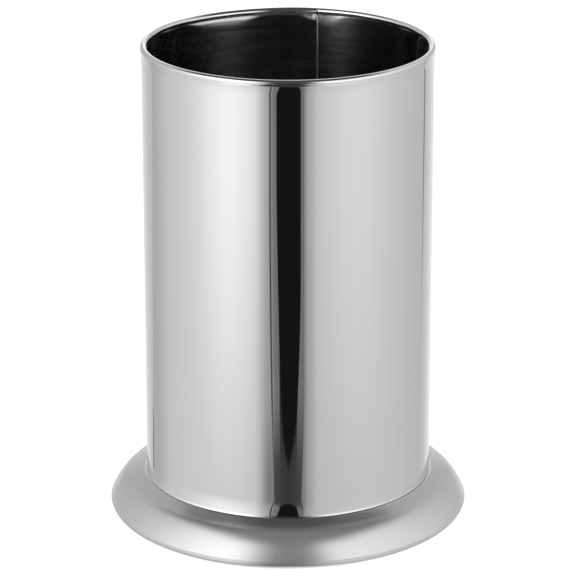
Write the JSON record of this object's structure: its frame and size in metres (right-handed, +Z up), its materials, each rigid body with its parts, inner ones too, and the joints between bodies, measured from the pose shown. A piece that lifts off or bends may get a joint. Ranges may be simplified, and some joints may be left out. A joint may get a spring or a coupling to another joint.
{
  "type": "straw holder",
  "caption": "Free-standing round holder that keeps drinking straws upright: polished sheet-steel tube with a curled rim and lap seam, on a satin bell-shaped foot.",
  "frame": {"origin": "on the table, under the middle of the foot", "axes": "+Z up along the tube; the user faces the holder from -Y, so the lap seam is at the back, towards +Y and a little to +X"},
  "size_m": [0.112, 0.112, 0.1511],
  "materials": {
    "polished_steel": "mirror polish outside, mill finish inside",
    "satin_steel": "satin, spun",
    "mill_steel": "mill finish",
    "elastomer": "matt"
  },
  "bodies": {
    "root": {"tube_wall": "polished_steel", "foot_flange": "satin_steel", "well_floor": "mill_steel", "nonslip_ring": "elastomer"}
  },
  "joints": []
}
